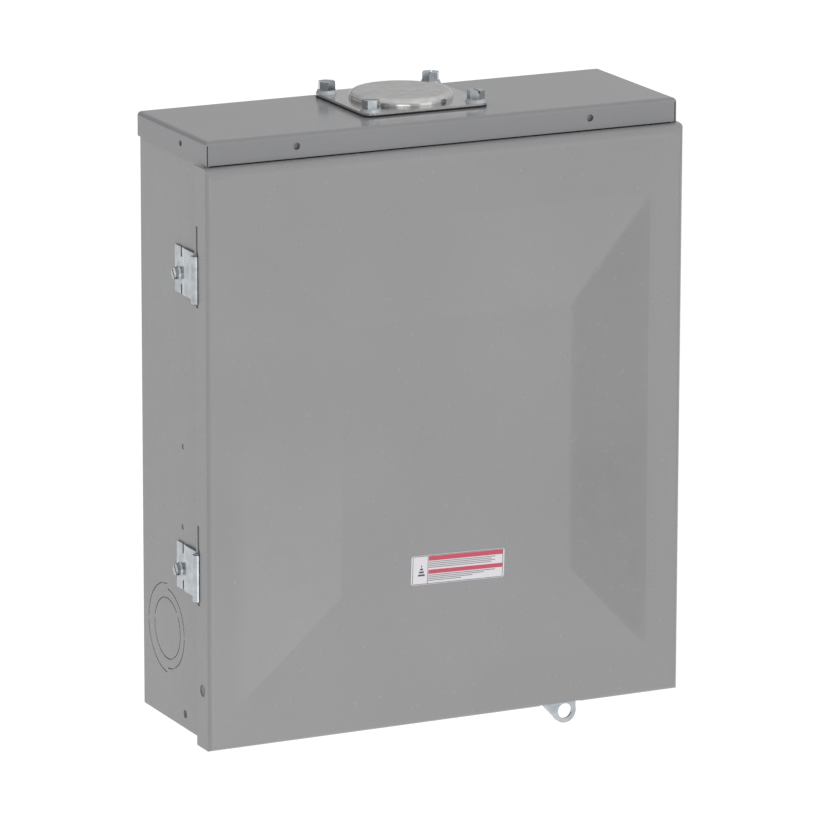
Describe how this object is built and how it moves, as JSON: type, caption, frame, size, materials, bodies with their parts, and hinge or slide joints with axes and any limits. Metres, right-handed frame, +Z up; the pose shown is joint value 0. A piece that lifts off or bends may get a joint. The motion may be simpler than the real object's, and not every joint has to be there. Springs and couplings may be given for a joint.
{
  "type": "residential load center",
  "caption": "Outdoor wall-mounted load center: painted steel box with a rain hood, blanked hub opening, side-hung door, padlock hasps, bus bars, breakers and terminal bars.",
  "frame": {"origin": "middle of the box's width and height, on the wall face", "axes": "+Y into the wall, +Z up, +X to the right as seen from the front, which faces -Y"},
  "size_m": [0.3726, 0.1371, 0.4589],
  "materials": {
    "grey_paint": "semi-gloss powder coat",
    "cover_grey": "satin paint",
    "zinc_plate": "bright zinc plate",
    "bright_steel": "drawn bright steel",
    "tin_aluminium": "tin-plated bar",
    "moulded_black": "moulded",
    "handle_black": "moulded",
    "moulded_white": "moulded",
    "gasket_rubber": "matt closed-cell",
    "green_screw": "green dyed zinc",
    "label_white": "printed film",
    "card_paper": "paper card"
  },
  "bodies": {
    "enclosure": {"box_wrapper": "grey_paint", "top_endwall": "grey_paint", "bottom_endwall": "grey_paint", "rain_hood": "grey_paint", "hub_gasket": "gasket_rubber", "hub_closure_plate": "bright_steel", "hub_plate_screws": "zinc_plate", "hinge_bracket_upper": "zinc_plate", "hinge_bracket_lower": "zinc_plate", "hinge_screws": "zinc_plate", "box_hasp": "zinc_plate", "box_hasp_rivets": "zinc_plate", "cover_tabs": "zinc_plate", "interior_pan": "zinc_plate", "pan_screws": "zinc_plate", "bus_insulator": "moulded_black", "bus_bar_l1": "tin_aluminium", "bus_bar_l2": "tin_aluminium", "neutral_supports": "moulded_white", "neutral_bar_left": "tin_aluminium", "neutral_bar_right": "tin_aluminium", "neutral_screws": "zinc_plate", "neutral_strap": "tin_aluminium", "strap_screws": "zinc_plate", "bonding_screw": "green_screw", "neutral_lug": "tin_aluminium", "neutral_lug_screw": "zinc_plate", "ground_bar": "tin_aluminium", "ground_bar_screws": "zinc_plate", "main_breaker_case": "moulded_black", "main_lugs": "tin_aluminium", "main_lug_screws": "zinc_plate", "breaker_terminal_screws": "zinc_plate", "breaker_left_1": "moulded_black", "breaker_left_2": "moulded_black", "breaker_left_3": "moulded_black", "breaker_left_4": "moulded_black", "breaker_right_1": "moulded_black", "breaker_right_2": "moulded_black", "breaker_right_3": "moulded_black", "breaker_right_4": "moulded_black", "dead_front": "cover_grey", "dead_front_screws": "zinc_plate", "filler_plates": "moulded_black"},
    "door": {"door_panel": "grey_paint", "door_hasp": "zinc_plate", "door_label": "label_white", "directory_card": "card_paper"},
    "main_switch": {"main_handle": "handle_black"},
    "switch_left_1": {"handle_left_1": "handle_black"},
    "switch_left_2": {"handle_left_2": "handle_black"},
    "switch_left_3": {"handle_left_3": "handle_black"},
    "switch_left_4": {"handle_left_4": "handle_black"},
    "switch_right_1": {"handle_right_1": "handle_black"},
    "switch_right_2": {"handle_right_2": "handle_black"},
    "switch_right_3": {"handle_right_3": "handle_black"},
    "switch_right_4": {"handle_right_4": "handle_black"}
  },
  "joints": [
    {"name": "door_hinge", "type": "hinge", "parent": "enclosure", "child": "door", "pos_m": [-0.1842, -0.104, 0.0105], "axis": [0, 0, -1], "range_deg": [0, 110]},
    {"name": "main_switch_toggle", "type": "hinge", "parent": "enclosure", "child": "main_switch", "pos_m": [0, -0.089, 0.1], "axis": [-1, 0, 0], "range_deg": [0, 38]},
    {"name": "toggle_left_1", "type": "hinge", "parent": "enclosure", "child": "switch_left_1", "pos_m": [-0.025, -0.0905, 0.0333], "axis": [0, 0, 1], "range_deg": [0, 38]},
    {"name": "toggle_left_2", "type": "hinge", "parent": "enclosure", "child": "switch_left_2", "pos_m": [-0.025, -0.0905, 0.0079], "axis": [0, 0, 1], "range_deg": [0, 38]},
    {"name": "toggle_left_3", "type": "hinge", "parent": "enclosure", "child": "switch_left_3", "pos_m": [-0.025, -0.0905, -0.0302], "axis": [0, 0, 1], "range_deg": [0, 38]},
    {"name": "toggle_left_4", "type": "hinge", "parent": "enclosure", "child": "switch_left_4", "pos_m": [-0.025, -0.0905, -0.0683], "axis": [0, 0, 1], "range_deg": [0, 38]},
    {"name": "toggle_right_1", "type": "hinge", "parent": "enclosure", "child": "switch_right_1", "pos_m": [0.025, -0.0905, 0.0333], "axis": [0, 0, -1], "range_deg": [0, 38]},
    {"name": "toggle_right_2", "type": "hinge", "parent": "enclosure", "child": "switch_right_2", "pos_m": [0.025, -0.0905, 0.0079], "axis": [0, 0, -1], "range_deg": [0, 38]},
    {"name": "toggle_right_3", "type": "hinge", "parent": "enclosure", "child": "switch_right_3", "pos_m": [0.025, -0.0905, -0.0175], "axis": [0, 0, -1], "range_deg": [0, 38]},
    {"name": "toggle_right_4", "type": "hinge", "parent": "enclosure", "child": "switch_right_4", "pos_m": [0.025, -0.0905, -0.0556], "axis": [0, 0, -1], "range_deg": [0, 38]}
  ]
}
